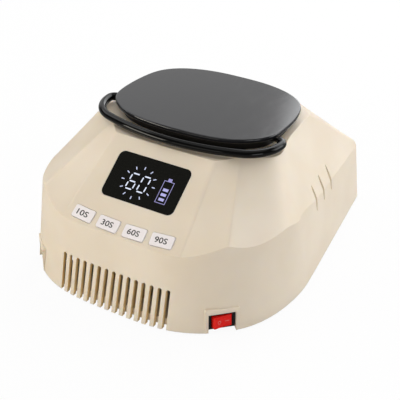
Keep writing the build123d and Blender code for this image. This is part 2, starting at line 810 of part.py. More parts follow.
# Power switch: bezel and body with a well for the rocker
rocker_centre = right_frame.from_local_coords((0, 0, -recess_depth + bezel_thickness - rocker_axis_depth))
well_half_width = rocker_radius + rocker_side_gap
with BuildPart() as power_switch_body:
    with BuildSketch(right_frame.offset(-recess_depth)):
        Rectangle(bezel_width, bezel_height)
    extrude(amount=bezel_thickness)
    fillet(power_switch_body.faces().sort_by(Axis((0, 0, 0), right_frame.z_dir))[-1].edges(), bezel_round)
    with BuildSketch(right_frame.offset(-recess_depth)):
        Rectangle(switch_body_width, switch_body_height)
    extrude(amount=-switch_body_depth)
    with BuildSketch(right_frame.offset(-recess_depth + bezel_thickness)):
        Rectangle(2 * well_half_width, rocker_height + 2 * rocker_side_gap)
    extrude(amount=-(rocker_axis_depth + well_half_width), mode=Mode.SUBTRACT)
    with BuildSketch(Plane(origin=rocker_centre, x_dir=right_frame.x_dir, z_dir=(0, 0, 1))):
        Circle(rocker_pin_radius + running_gap)
    extrude(amount=rocker_height / 2 + rocker_pin_reach + running_gap, both=True, mode=Mode.SUBTRACT)
write(power_switch_body.part, "power_switch_body")

# Rocker: a drum about its pins with a dished face, drawn with its left end out
tipped = radians(frame_turn + rocker_tilt)
rocker_plane = Plane(origin=rocker_centre, x_dir=(cos(tipped), sin(tipped), 0), z_dir=(0, 0, -1))
rocker_end = rocker_face + rocker_radius * tan(radians(rocker_dish))
with BuildPart() as power_rocker:
    with BuildSketch(rocker_plane):
        Circle(rocker_radius)
        Polygon((-rocker_radius, -rocker_keel), (rocker_radius, -rocker_keel), (rocker_radius, rocker_end),
                (0, rocker_face), (-rocker_radius, rocker_end), align=None, mode=Mode.INTERSECT)
    extrude(amount=rocker_height / 2, both=True)
    with BuildSketch(rocker_plane):
        Circle(rocker_pin_radius)
    extrude(amount=rocker_height / 2 + rocker_pin_reach, both=True)
write(power_rocker.part, "power_rocker")

# Charging inlet: a box behind the recess with its round nose in the hole
with BuildPart() as dc_jack:
    with BuildSketch(left_frame.offset(-recess_depth - recess_wall)):
        Rectangle(jack_width, jack_height)
    extrude(amount=-jack_body_depth)
    with BuildSketch(left_frame.offset(-recess_depth - recess_wall)):
        Circle(jack_nose_radius)
    extrude(amount=recess_wall + jack_nose_proud)
    with BuildSketch(left_frame.offset(-recess_depth + jack_nose_proud)):
        Circle(jack_bore_radius)
        Circle(jack_pin_radius, mode=Mode.SUBTRACT)
    extrude(amount=-jack_bore_depth, mode=Mode.SUBTRACT)
write(dc_jack.part, "dc_jack")

# Neck and cap
neck_top_z = deck_z + neck_height
handle_z = deck_z + handle_lift + handle_radius
front_turn = radians(handle_front_turn)
handle_pivot_y = (handle_front_y + handle_front_bend * (1 - cos(front_turn))
                  + handle_corner_bend * cos(front_turn) + handle_elbow_bend)
handle_end_x = (handle_front_bend * sin(front_turn) + handle_corner_bend * (1 - sin(front_turn))
                - handle_elbow_bend)
neck_side_x = cap_widest[0] - neck_inset
pivot_tip_x = neck_side_x - handle_pivot_reach
with BuildPart() as handle_base:
    add(cap_plan(deck_z, neck_inset))
    extrude(amount=neck_height)
    with BuildSketch(Plane.YZ.offset(pivot_tip_x - rest_gap)):
        with Locations((handle_pivot_y, handle_z)):
            Circle(handle_pivot_radius + running_gap)
    extrude(amount=neck_side_x, mode=Mode.SUBTRACT)
    with BuildSketch(Plane.YZ.offset(-pivot_tip_x + rest_gap)):
        with Locations((handle_pivot_y, handle_z)):
            Circle(handle_pivot_radius + running_gap)
    extrude(amount=-neck_side_x, mode=Mode.SUBTRACT)
    with BuildSketch(Plane.XY.offset(deck_z)):
        with Locations(*mirrored(cap_screw_places)):
            Circle(screw_radius + running_gap)
    extrude(amount=neck_height, mode=Mode.SUBTRACT)
write(handle_base.part, "handle_base")

cap_screw_length = wall + neck_height + cap_screw_bite
with BuildPart() as top_plate:
    add(cap_plan(neck_top_z, 0))
    extrude(amount=cap_height)
    fillet(top_plate.edges().group_by(Axis.Z)[-1], cap_top_round)
    fillet(top_plate.edges().group_by(Axis.Z)[0], cap_under_round)
    with BuildSketch(Plane.XY.offset(neck_top_z)):
        with Locations(*mirrored(cap_screw_places)):
            Circle(screw_radius)
    extrude(amount=cap_screw_bite, mode=Mode.SUBTRACT)
write(top_plate.part, "top_plate")

# Handle: a round bail with its ends turned in to pins
with BuildPart() as carry_handle:
    with BuildLine() as bail:
        front = JernArc((0, handle_front_y, handle_z), (1, 0, 0), handle_front_bend, handle_front_turn)
        corner = JernArc(front @ 1, front % 1, handle_corner_bend, 90 - handle_front_turn)
        elbow = JernArc(corner @ 1, corner % 1, handle_elbow_bend, 90)
    with BuildSketch(Plane(origin=(0, handle_front_y, handle_z), x_dir=(0, 1, 0), z_dir=(1, 0, 0))):
        Circle(handle_radius)
    sweep(path=bail.line)
    with BuildSketch(Plane.YZ.offset(pivot_tip_x)):
        with Locations((handle_pivot_y, handle_z)):
            Circle(handle_pivot_radius)
    extrude(amount=handle_end_x - pivot_tip_x)
    mirror(about=Plane.YZ)
write(carry_handle.part, "carry_handle")

# Feet and screws
with BuildPart() as rubber_feet:
    with BuildSketch():
        with Locations(*mirrored(foot_places)):
            Circle(foot_radius)
    extrude(amount=bottom_z + foot_recess)
write(rubber_feet.part, "rubber_feet")


def screws(spots, shank_radius, head_radius, head_height, length):
    """Screws whose heads seat at the given places and whose shanks run along +Z there."""
    with BuildPart() as group:
        with Locations(*spots):
            Cylinder(head_radius, head_height, align=(Align.CENTER, Align.CENTER, Align.MAX))
            Cylinder(shank_radius, length, align=(Align.CENTER, Align.CENTER, Align.MIN))
    return group.part


frame_screw_seat_z = bottom_z + tray_lift + screw_head_height
frame_screw_spots = [Location((x, y, frame_screw_seat_z)) for x, y in mirrored(frame_screw_places)]
frame_screws = screws(frame_screw_spots, screw_radius, screw_head_radius,
                      screw_head_height, frame_screw_length)
write(frame_screws, "frame_screws")

cap_screw_spots = [Location((x, y, deck_z - wall)) for x, y in mirrored(cap_screw_places)]
cap_screws = screws(cap_screw_spots, screw_radius, screw_head_radius, screw_head_height, cap_screw_length)
write(cap_screws, "cap_screws")

board_back = panel.offset(-board_depth - board_thickness)
inner_screw_spots = [board_back.location * Location((x, y, 0)) for x, y in board_holes]
inner_screw_spots += [Location((x, y, cradle_floor_z)) for x, y in cradle_ears]
lug_top_z = bottom_top_z + hood_wall
inner_screw_spots += [Location((x, y, lug_top_z), (180, 0, 0)) for x, y in mirrored(hood_screw_places)]
inner_screws = screws(inner_screw_spots, small_screw_radius, small_head_radius,
                      small_head_height, small_screw_length)
write(inner_screws, "inner_screws")
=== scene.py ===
# %% [markdown]
# **The lamp.** A cordless lamp that cures nail gel: a faceted housing of pale plastic with a black
# cap and a fold-down handle, a display, four keys and a rocker switch. Its solids come ready
# made, in metres and in their real places. So this script gives them finishes, adds what is too
# thin to be a solid, such as print and lit digits, and sets up camera, room and lamps. The frame
# is loaded first, because everything else is placed by it.

# %% The frame
import math

import bpy
import numpy as np
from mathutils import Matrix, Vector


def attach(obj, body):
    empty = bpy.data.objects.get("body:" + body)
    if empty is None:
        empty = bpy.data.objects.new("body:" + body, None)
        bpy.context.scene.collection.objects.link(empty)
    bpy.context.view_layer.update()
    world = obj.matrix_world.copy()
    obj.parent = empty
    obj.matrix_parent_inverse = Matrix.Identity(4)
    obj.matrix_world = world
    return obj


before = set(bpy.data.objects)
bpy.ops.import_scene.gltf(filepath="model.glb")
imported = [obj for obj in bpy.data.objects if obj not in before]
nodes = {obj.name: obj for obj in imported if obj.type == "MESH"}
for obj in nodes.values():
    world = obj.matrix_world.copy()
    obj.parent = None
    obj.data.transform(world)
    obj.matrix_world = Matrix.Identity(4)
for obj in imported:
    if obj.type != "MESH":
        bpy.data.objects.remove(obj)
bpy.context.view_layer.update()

# %% [markdown]
# **The camera.** A photograph fixes where the camera stood: straight edges of a known size meet
# at angles that only one place gives. One could aim a camera by eye at the lamp's middle, but a
# fitted place and fitted angles put every edge where the photograph has it. The lens is long,
# so the lamp shows little perspective. A new camera looks straight down. Read from right to left,
# the product of three turns rolls it a fraction of a degree about its own line of sight, tips it
# up, and turns it round the upright axis.

# %% Camera
CAMERA_PLACE = (0.2753, -0.4515, 0.3507)
CAMERA_AZIMUTH = math.radians(31.15)
CAMERA_ELEVATION = math.radians(31.5)
CAMERA_ROLL = math.radians(0.17)
CAMERA_LENS_MM = 84.55
CAMERA_SENSOR_MM = 36.0
CAMERA_NEAREST = 0.01

camera_data = bpy.data.cameras.new("camera")
camera_data.lens = CAMERA_LENS_MM
camera_data.sensor_width = CAMERA_SENSOR_MM
camera_data.clip_start = CAMERA_NEAREST
camera = bpy.data.objects.new("camera", camera_data)
bpy.context.scene.collection.objects.link(camera)
camera.location = CAMERA_PLACE
camera.rotation_mode = "QUATERNION"
tip = Matrix.Rotation(math.pi / 2 - CAMERA_ELEVATION, 4, "X")
turn = Matrix.Rotation(CAMERA_AZIMUTH, 4, "Z")
roll = Matrix.Rotation(CAMERA_ROLL, 4, "Z")
camera.rotation_quaternion = (turn @ tip @ roll).to_quaternion()
bpy.context.scene.camera = camera
print("camera", round(math.dist(CAMERA_PLACE, (0, 0, 0)), 3), "m from the lamp")

# %% [markdown]
# **Writing shaders as sums.** Node trees are long to write by hand, so one small class wraps an
# output socket. Adding, subtracting or multiplying two of them adds a Math node, and plain
# numbers may stand on either side. A vector's parts and its dot product get a short name too,
# because the housing's finish needs to know where on the lamp a point lies and which way it faces.


# %% Wires
class Wire:
    """An output socket that can be used in sums; each operator adds one Math node."""

    def __init__(self, finish, socket):
        self.finish = finish
        self.socket = socket

    def math(self, operation, *values):
        """One Math node on the given values."""
        return self.finish.add("Math", {"operation": operation}, dict(enumerate(values)))

    def __add__(self, other):
        return self.math("ADD", self, other)

    def __radd__(self, other):
        return self.math("ADD", other, self)

    def __sub__(self, other):
        return self.math("SUBTRACT", self, other)

    def __rsub__(self, other):
        return self.math("SUBTRACT", other, self)

    def __mul__(self, other):
        return self.math("MULTIPLY", self, other)

    def __rmul__(self, other):
        return self.math("MULTIPLY", other, self)

    def __abs__(self):
        return self.math("ABSOLUTE", self)

    def sign(self):
        """-1, 0 or 1."""
        return self.math("SIGN", self)

    def smooth(self, low, high):
        """0 below low, 1 above high, and a soft step between."""
        return self.finish.add("MapRange", {"interpolation_type": "SMOOTHSTEP"},
                               {0: self, 1: low, 2: high, 3: 0.0, 4: 1.0})

    def part(self, axis):
        """The X, Y or Z part of a vector."""
        return self.finish.add("SeparateXYZ", None, {0: self}, output=axis)

    def vector(self, operation, other=None, output=0):
        """A Vector Math node on this vector and, where it takes two, another."""
        values = {0: self} if other is None else {0: self, 1: other}
        return self.finish.add("VectorMath", {"operation": operation}, values, output)

    def dot(self, other):
        """Sum of the products of the parts: above 0 where both vectors point the same way."""
        return self.vector("DOT_PRODUCT", other, output=1)


# %% [markdown]
# **A finish.** Every material here is built by the same few calls: noise for grain and clouds, a
# mix of two colours, a bump, a softened edge, and one Principled shader at the end. All other
# nodes go through one method, `add`, which sets the node's own choices first and its sockets
# after, because some sockets appear only once a choice is made. Patterns read Object coordinates,
# which on these solids are metres on the lamp, so a size in a finish is a real size.


# %% Finishes
EDGE_SAMPLES = 6


class Finish:
    """A material, or a world, under construction, with the calls that add nodes to it."""

    def __init__(self, name, holder=None):
        self.holder = holder or bpy.data.materials.new(name)
        self.holder.use_nodes = True
        self.tree = self.holder.node_tree
        self.tree.nodes.clear()
        self.place = self.add("TexCoord", output="Generated" if holder else "Object")

    def add(self, kind, settings=None, values=None, output=0):
        """One node: its settings, then the values or links of its sockets, and one output."""
        node = self.tree.nodes.new("ShaderNode" + kind)
        for name, value in (settings or {}).items():
            setattr(node, name, value)
        for name, value in (values or {}).items():
            if isinstance(value, Wire):
                self.tree.links.new(value.socket, node.inputs[name])
            elif value is not None:
                node.inputs[name].default_value = value
        return Wire(self, node.outputs[output])

    def noise(self, size, detail=2.0, roughness=0.5, stretch=None):
        """Soft random field between 0 and 1, with patches of the given size in metres."""
        place = self.place
        if stretch:
            place = self.add("Mapping", None, {"Vector": place, "Scale": stretch})
        return self.add("TexNoise", {"noise_dimensions": "3D"},
                        {"Vector": place, "Scale": 1.0 / size, "Detail": detail,
                         "Roughness": roughness})

    def mix(self, amount, first, second):
        """Colour between first and second, by an amount from 0 to 1."""
        first = first if isinstance(first, Wire) else (*first, 1.0)
        second = second if isinstance(second, Wire) else (*second, 1.0)
        return self.add("Mix", {"data_type": "RGBA"}, {0: amount, 6: first, 7: second}, output=2)

    def bump(self, height, distance, under=None):
        """Surface normal of a height field, in metres from its low to its high places."""
        return self.add("Bump", None, {"Height": height, "Distance": distance, "Strength": 1.0,
                                       "Normal": under})

    def soften(self, radius):
        """Surface normal that turns gradually over an edge, as a moulded radius does."""
        return self.add("Bevel", {"samples": EDGE_SAMPLES}, {"Radius": radius})

    def plastic(self, colour, roughness, normal=None, **constants):
        """Ends the material in one Principled shader; constants are set on its own sockets."""
        values = {"Base Color": colour if isinstance(colour, Wire) else (*colour, 1.0),
                  "Roughness": roughness, "Normal": normal}
        values.update({name.replace("_", " "): value for name, value in constants.items()})
        return self.end(self.add("BsdfPrincipled", None, values))

    def end(self, shader, kind="OutputMaterial"):
        """Join a shader to the output, and hand back the finished material or world."""
        out = self.tree.nodes.new("ShaderNode" + kind)
        self.tree.links.new(shader.socket, out.inputs["Surface"])
        return self.holder

    def seen_by(self, *rays):
        """1 for rays of the named kinds, such as Camera or Glossy, and 0 for all others."""
        amounts = [self.add("LightPath", output="Is " + ray + " Ray") for ray in rays]
        total = amounts[0]
        for amount in amounts[1:]:
            total = total.math("MAXIMUM", total, amount)
        return total


def wear(finish, node_names):
    """Give a finish to CAD nodes, in place of the plain one they were packed with."""
    for name in node_names:
        mesh = nodes[name].data
        mesh.materials.clear()
        mesh.materials.append(finish)
    print(finish.name, "on", ", ".join(node_names))


def dimmed(colour, share):
    """A darker shade of a colour."""
    return tuple(share * c for c in colour)


# %% [markdown]
# **Moulded plastic.** Most pieces of the lamp are satin mouldings, whose tool was spark-eroded to
# a fine grain. A plain grey-level noise in the colour would look like dirt, so three fields share
# the work: a grain a third of a millimetre across only as bump, a mottle of a few millimetres
# that changes the roughness, and slow clouds of colour, as thick and thin walls cool differently.
# The sharp edges of a solid get a small radius in the shading, as the tool's edges have.

# %% Moulded plastic
GRAIN_SIZE = 0.00035
GRAIN_DEPTH = 0.000012
MOTTLE_SIZE = 0.004
MOTTLE_SHARE = 0.6
CLOUD_SIZE = 0.035
PATCHES = (0.3, 0.7)
GLOSS_SWING = 0.10


def moulded(name, light, deep, roughness, edge, grain_depth=GRAIN_DEPTH,
            turned=None, toned=None, **constants):
    """A satin moulded plastic: grain as bump, drifting colour and roughness.

    turned is a function that changes the normal under the grain, and toned one that changes
    the colour; both get the finish and what they change.
    """
    finish = Finish(name)
    grain = finish.noise(GRAIN_SIZE, detail=3.0, roughness=0.6)
    clouds = finish.noise(CLOUD_SIZE)
    mottle = finish.noise(MOTTLE_SIZE)
    colour = finish.mix(clouds.smooth(*PATCHES), deep, light)
    if toned:
        colour = toned(finish, colour)
    drift = MOTTLE_SHARE * mottle + (1.0 - MOTTLE_SHARE) * clouds
    gloss = roughness - GLOSS_SWING / 2 + GLOSS_SWING * drift
    under = finish.soften(edge) if edge else None
    if turned:
        under = turned(finish, under)
    return finish.plastic(colour, gloss, finish.bump(grain, grain_depth, under), **constants)


print("moulded grain", GRAIN_SIZE * 1000, "mm across")

# %% [markdown]
# **Side faces that swell.** On the real lamp the side face behind the corner's crease is slightly
# full, so light comes on to it gradually. The solid has a plain ruled face there. Its mesh is
# never changed, but a shading normal may lean: a few degrees, more the further a point lies
# behind the crease, give the same gradual light from any side. Ahead of the crease the face dips
# a little, and the steep flank below leans up towards the rear, where the edge between flank and
# side nearly fades.

# %% Swelling sides
CREASE_FACING = (0.928, 0.372, 0.023)
CREASE_DISTANCE = 0.0345
CREASE_WIDTH = (-0.0004, 0.0006)
CREASE_STEP = 0.75
CREASE_DIP = (-0.05, -0.13)
SIDE_WIDTH = 0.024
SIDE_TILT = (0.45, -0.05)
FACET_SLOPE = (0.60, 0.74)
DECK_SLOPE = (0.92, 0.97)
SIDE_BEND = (-0.010, 0.005)
FLANK_LIFT = 0.24
FLANK_FACING = (0.60, 0.85)
FLANK_SLOPE = (0.35, 0.60)
FLANK_REAR = (-0.035, 0.015)


def swelling_sides(finish, normal):
    """Normal of the side faces, turned outwards more the further they lie from the crease.

    With d the distance behind the crease plane and s(t) a soft step, the normal becomes
    n + w (tilt_x sign(x), 0, tilt_z), with w = s(d) (c + (1 - c) s(d / width)), where the face
    is a slope and lies ahead of the sides' bend. Ahead of the crease it is n + v (0, dip_y,
    dip_z), with v = s(1 + d / width). On the flank it is n + (0, 0, lift), grown by s(y).
    """
    x, y, z = (finish.place.part(axis) for axis in "XYZ")
    mirrored = finish.add("CombineXYZ", None, {0: abs(x), 1: y, 2: z})
    behind = mirrored.dot(CREASE_FACING) - CREASE_DISTANCE
    slope = normal.part("Z")
    is_facet = slope.smooth(*FACET_SLOPE) * (1.0 - slope.smooth(*DECK_SLOPE))
    slopes = is_facet * (1.0 - y.smooth(*SIDE_BEND))
    past = behind.smooth(*CREASE_WIDTH)
    amount = slopes * past * (CREASE_STEP + (1.0 - CREASE_STEP) * behind.smooth(0, SIDE_WIDTH))
    dip = slopes * (1.0 - past) * behind.smooth(-SIDE_WIDTH, 0)
    outwards = (x.sign() * normal.part("X")).smooth(*FLANK_FACING)
    flank = outwards * (1.0 - slope.smooth(*FLANK_SLOPE)) * y.smooth(*FLANK_REAR)
    upwards = SIDE_TILT[1] * amount + CREASE_DIP[1] * dip + FLANK_LIFT * flank
    tilt = finish.add("CombineXYZ", None, {0: SIDE_TILT[0] * amount * x.sign(),
                                           1: CREASE_DIP[0] * dip, 2: upwards})
    return normal.vector("ADD", tilt).vector("NORMALIZE")


# %% [markdown]
# ** Painted shade in the vents.** Deep in a narrow slot light goes from wall to wall, and each time the pale
# plastic takes some blue out of it, so the slots look honey-brown. A render cuts such paths short
# after a few bounces. So the cheeks of the slots get this deeper colour as painted shade: they are
# the faces of the front skirt, below the vents' tops, that look straight to the left or right.

# %% Painted vent shade
# The colour of the painted shade on the vents' cheeks.
VENT_PAINTED_SHADE = (0.74, 0.56, 0.29)
VENT_TOP = (0.0265, 0.0275)
VENT_REAR = (-0.078, -0.076)
CHEEK_FACING = (0.85, 0.95)


def painted_vent_shade(finish, colour):
    """Painted shade: a deeper, warmer colour on the cheeks of the vents, for light bounced in them.
    """
    sideways = finish.add("NewGeometry", output="Normal").part("X")
    cheeks = abs(sideways).smooth(*CHEEK_FACING)
    in_front = 1.0 - finish.place.part("Y").smooth(*VENT_REAR)
    below = 1.0 - finish.place.part("Z").smooth(*VENT_TOP)
    return finish.mix(cheeks * in_front * below, colour, VENT_PAINTED_SHADE)


# %% [markdown]
# **Sand-coloured housing.** The shell is a warm pale ABS about 2.5 mm thick, and a little light
# bleeds through it, which rounds the shading at its edges. Subsurface does that in the shader,
# with red going furthest. The frame below is the same plastic, and the base is plain white.

# %% Housing, frame and base
ABS_LIGHT = (0.800, 0.700, 0.570)
ABS_DEEP = (0.765, 0.660, 0.525)

# The vents' cheeks get painted shade, through toned.
housing_plastic = moulded("warm_abs", ABS_LIGHT, ABS_DEEP, roughness=0.40, edge=0.0005,
                          turned=swelling_sides, toned=painted_vent_shade, IOR=1.5,
                          Subsurface_Weight=0.35, Subsurface_Radius=(0.0030, 0.0022, 0.0012),
                          Subsurface_Scale=1.0)
wear(housing_plastic, ["upper_housing"])
frame_plastic = moulded("warm_abs_base", ABS_LIGHT, ABS_DEEP, roughness=0.48, edge=0.0006,
                        IOR=1.5)
wear(frame_plastic, ["bottom_frame"])
tray_plastic = moulded("white_abs", (0.83, 0.83, 0.81), (0.80, 0.80, 0.78), roughness=0.36,
                       edge=0.0004, IOR=1.5)
wear(tray_plastic, ["base_tray"])

# %% [markdown]
# **Black gloss.** The cap and its handle are polished black. Nothing in the colour shows, so the
# surface is told by its reflections: a very slight waviness from moulding, far larger than the
# grain, bends them, faint wiping marks make the gloss uneven, and specks of dust catch some
# light. The bail and the recessed neck mirror less than the cap, so their specular level is low.

# %% Cap, handle and neck
DUST_SIZE = 0.0012
DUST_SPOTS = (0.72, 0.80)
DUST_AMOUNT = 0.25
WIPE_SIZE = 0.006
WIPE_MARKS = (0.45, 0.75)
WIPE_HAZE = 0.06
WIPE_STRETCH = (1.0, 0.25, 1.0)


def dusty(colour):
    """A dark colour under a little dust: three times as bright, and never quite black."""
    return tuple(min(1.0, 3.0 * c + 0.02) for c in colour)


def polished(name, colour, roughness, wave_size, wave_depth, edge=0.0, **constants):
    """A gloss plastic: slow waves in the normal and faint wiping marks in the roughness."""
    finish = Finish(name)
    waves = finish.noise(wave_size, detail=1.0)
    marks = finish.noise(WIPE_SIZE, detail=4.0, roughness=0.65, stretch=WIPE_STRETCH)
    gloss = roughness + WIPE_HAZE * marks.smooth(*WIPE_MARKS)
    dust = finish.noise(DUST_SIZE, detail=1.0).smooth(*DUST_SPOTS)
    shade = finish.mix(DUST_AMOUNT * dust, colour, dusty(colour))
    normal = finish.bump(waves, wave_depth, finish.soften(edge) if edge else None)
    return finish.plastic(shade, gloss, normal, **constants)


cap_plastic = polished("black_cap", (0.012, 0.012, 0.014), roughness=0.12, wave_size=0.03,
                       wave_depth=0.00003, IOR=1.52)
wear(cap_plastic, ["top_plate"])
bail_plastic = polished("black_bail", (0.003, 0.003, 0.003), roughness=0.08, wave_size=0.02,
                        wave_depth=0.00002, IOR=1.52, Specular_IOR_Level=0.22)
wear(bail_plastic, ["carry_handle"])
neck_plastic = moulded("black_neck", (0.003, 0.003, 0.003), (0.002, 0.002, 0.002),
                       roughness=0.30, edge=0.0, IOR=1.5, Specular_IOR_Level=0.25)
wear(neck_plastic, ["handle_base"])

# %% [markdown]
# **Keys, switch and inlet.** Small mouldings in three plastics. The keys are a cooler white than
# the housing, with a finer grain. The rocker is tinted through, so a little red light gets out
# of it again. The bezel and the inlet are plain black with the housing's grain, and dull.

# %% Small mouldings
key_plastic = moulded("pale_keys", (0.90, 0.845, 0.85), (0.87, 0.815, 0.82), roughness=0.38,
                      edge=0.0003, grain_depth=0.000005, IOR=1.5)
wear(key_plastic, ["button_10s", "button_30s", "button_60s", "button_90s"])
rocker_plastic = polished("red_rocker", (0.78, 0.014, 0.009), roughness=0.26, wave_size=0.004,
                          wave_depth=0.000008, edge=0.0003, Specular_IOR_Level=0.2, IOR=1.5,
                          Subsurface_Weight=0.25, Subsurface_Radius=(0.004, 0.0006, 0.0004),
                          Subsurface_Scale=0.4)
wear(rocker_plastic, ["power_rocker"])
bezel_plastic = moulded("black_fittings", (0.004, 0.004, 0.004), (0.003, 0.003, 0.003),
                        roughness=0.36, edge=0.0003, IOR=1.5, Specular_IOR_Level=0.3)
wear(bezel_plastic, ["power_switch_body", "dc_jack"])

# %% [markdown]
# **Metal.** Screws are zinc-plated steel and the magnets have a nickel skin. Metal has hardly a
# colour of its own besides what it mirrors, so Metallic is high, and a very fine grain in the
# bump and the roughness, as plating has, breaks the mirror up.

# %% Screws and magnets
METALLIC = 0.9
GRAIN_GLOSS = 0.10
METAL_PATCH_SIZE = 0.02
METAL_SHADE = 0.93


def plated(name, colour, roughness, grain_size, grain_depth):
    """A plated metal: fine grain as bump and in the roughness, and two shades in patches."""
    finish = Finish(name)
    grain = finish.noise(grain_size, detail=3.0, roughness=0.7)
    patches = finish.noise(METAL_PATCH_SIZE)
    shade = finish.mix(patches.smooth(*PATCHES), colour, dimmed(colour, METAL_SHADE))
    gloss = roughness + GRAIN_GLOSS * grain
    return finish.plastic(shade, gloss, finish.bump(grain, grain_depth), Metallic=METALLIC)


screw_metal = plated("zinc_steel", (0.58, 0.58, 0.60), roughness=0.28, grain_size=0.0004,
                     grain_depth=0.000004)
wear(screw_metal, ["frame_screws", "cap_screws", "inner_screws"])
magnet_metal = plated("nickel_plate", (0.66, 0.64, 0.60), roughness=0.16, grain_size=0.0005,
                      grain_depth=0.000003)
wear(magnet_metal, ["tray_magnets", "frame_magnets"])

# %% [markdown]
# **The hood.** From the back one looks into the hand space, under a hood that throws the light
# of its lamps on to the nails. It is a tan moulding, metal-coated on the inner side only. One
# material serves both sides: with n the normal and m the middle of the hood, n . (place - m) is
# below 0 where a face looks inwards and above 0 where it looks out, so a soft step of it fades
# from the coating to the bare plastic, which shows through the vents.

# %% Hood
HOOD_MIDDLE = (0.0, 0.03, 0.012)
HOOD_PLASTIC = (0.85, 0.60, 0.32)
HOOD_COATING = (0.80, 0.81, 0.84)
HOOD_COATING_DEEP = (0.74, 0.75, 0.78)
HOOD_ROUGHNESS = 0.22
HOOD_BARE_DULLER = 0.25
HOOD_LINE_SIZE = 0.0006
HOOD_LINE_DEPTH = 0.000006
HOOD_LINE_STRETCH = (1.0, 0.08, 1.0)
HOOD_TURN = (-0.001, 0.001)

hood = Finish("coated_hood")
hood_lines = hood.noise(HOOD_LINE_SIZE, detail=3.0, roughness=0.7, stretch=HOOD_LINE_STRETCH)
hood_patches = hood.noise(METAL_PATCH_SIZE).smooth(*PATCHES)
from_middle = hood.place.vector("SUBTRACT", HOOD_MIDDLE)
bare = hood.add("NewGeometry", output="Normal").dot(from_middle).smooth(*HOOD_TURN)
hood_film = hood.mix(hood_patches, HOOD_COATING, HOOD_COATING_DEEP)
hood_gloss = HOOD_ROUGHNESS + GRAIN_GLOSS * hood_lines + HOOD_BARE_DULLER * bare
hood_coating = hood.plastic(hood.mix(bare, hood_film, HOOD_PLASTIC), hood_gloss,
                            hood.bump(hood_lines, HOOD_LINE_DEPTH),
                            Metallic=METALLIC - METALLIC * bare)
wear(hood_coating, ["reflector_liner"])

# %% [markdown]
# **Lights, boards and cells.** Each light is a hard clear resin dome over its chip, slightly
# yellow. Half of its light is let through and half is coloured, which is cheaper than real glass
# and looks the same at this size. Boards, cradle and cells are seldom seen, but through the
# mouth or with the base pulled out they still should look like what they are.

# %% Lights, boards and cells
DOME_SWELL_SIZE = 0.0016
DOME_SWELL_DEPTH = 0.00002
DOME_RESIN = (0.98, 0.93, 0.78)
DOME_RESIN_DEEP = (0.95, 0.88, 0.70)

dome_finish = Finish("clear_domes")
dome_swell = dome_finish.noise(DOME_SWELL_SIZE, detail=1.0)
dome_resin = dome_finish.plastic(dome_finish.mix(dome_swell, DOME_RESIN, DOME_RESIN_DEEP),
                                 0.06 + 0.03 * dome_swell,
                                 dome_finish.bump(dome_swell, DOME_SWELL_DEPTH),
                                 Transmission_Weight=0.55, IOR=1.50)
wear(dome_resin, ["led_beads"])

board_mask = moulded("white_board", (0.78, 0.80, 0.78), (0.74, 0.76, 0.74), roughness=0.40,
                     edge=0.0, IOR=1.5)
wear(board_mask, ["led_board_top", "led_board_left", "led_board_right", "led_board_front"])
green_mask = moulded("green_board", (0.03, 0.16, 0.07), (0.02, 0.12, 0.05), roughness=0.30,
                     edge=0.0, IOR=1.5)
wear(green_mask, ["control_board"])
dark_moulding = moulded("dark_inner", (0.05, 0.05, 0.055), (0.04, 0.04, 0.044), roughness=0.45,
                        edge=0.0, IOR=1.5)
wear(dark_moulding, ["battery_holder", "display_module", "tact_switches"])
cell_wrap = polished("blue_cell_wrap", (0.05, 0.16, 0.45), roughness=0.25, wave_size=0.01,
                     wave_depth=0.00002, IOR=1.5)
wear(cell_wrap, ["battery_cells"])

# %% [markdown]
# **Feet.** Four rubber discs. Rubber is dull and never quite black: fine talc lies in its grain,
# so the roughness is high, the bump is deep for its size, and the colour changes in patches.

# %% Feet
RUBBER_BLACK = (0.022, 0.021, 0.020)
RUBBER_TALC = (0.034, 0.033, 0.031)
RUBBER_GRAIN_SIZE = 0.0003
RUBBER_GRAIN_DEPTH = 0.00003
RUBBER_PATCH_SIZE = 0.003

rubber = Finish("foot_rubber")
rubber_grain = rubber.noise(RUBBER_GRAIN_SIZE)
rubber_patches = rubber.noise(RUBBER_PATCH_SIZE)
foot_rubber = rubber.plastic(rubber.mix(rubber_patches, RUBBER_BLACK, RUBBER_TALC),
                             0.70 + 0.12 * rubber_patches,
                             rubber.bump(rubber_grain, RUBBER_GRAIN_DEPTH))
wear(foot_rubber, ["rubber_feet"])

# %% [markdown]
# **The panel's own coordinates.** Window, keys and their marks all lie on one sloping face. They
# could be drawn lying down and turned as objects, but a finished piece keeps its place in its
# mesh. So each is drawn flat as arrays, x across and y up the slope in millimetres, and then
# lifted on to the face, where the height h stands along the face's normal.

# %% Panel
MM = 0.001
PANEL_TILT = math.radians(37.0)
PANEL_ORIGIN = np.array([0.0, -38.0, 84.2])
PANEL_ACROSS = np.array([1.0, 0.0, 0.0])
PANEL_UP = np.array([0.0, math.cos(PANEL_TILT), math.sin(PANEL_TILT)])
PANEL_OUT = np.array([0.0, -math.sin(PANEL_TILT), math.cos(PANEL_TILT)])


def on_plane(flat, heights, origin, across, up, out):
    """Points in metres: origin + x * across + y * up + h * out, for rows (x, y) and heights h."""
    flat = np.asarray(flat, float)
    heights = np.broadcast_to(np.asarray(heights, float), flat.shape[:1])
    return MM * (origin + flat[:, :1] * across + flat[:, 1:2] * up + heights[:, None] * out)


def on_panel(flat, heights):
    """Points on the sloping panel."""
    return on_plane(flat, heights, PANEL_ORIGIN, PANEL_ACROSS, PANEL_UP, PANEL_OUT)


def make_piece(name, points, faces, finish, body):
    """A mesh object from points in metres and faces, riding on a body."""
    mesh = bpy.data.meshes.new(name)
    mesh.from_pydata(points.tolist(), [], [[int(i) for i in face] for face in faces])
    mesh.validate()
    mesh.materials.append(finish)
    piece = bpy.data.objects.new(name, mesh)
    bpy.context.scene.collection.objects.link(piece)
    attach(piece, body)
    print(name, "rides on", body, "with", len(faces), "faces")


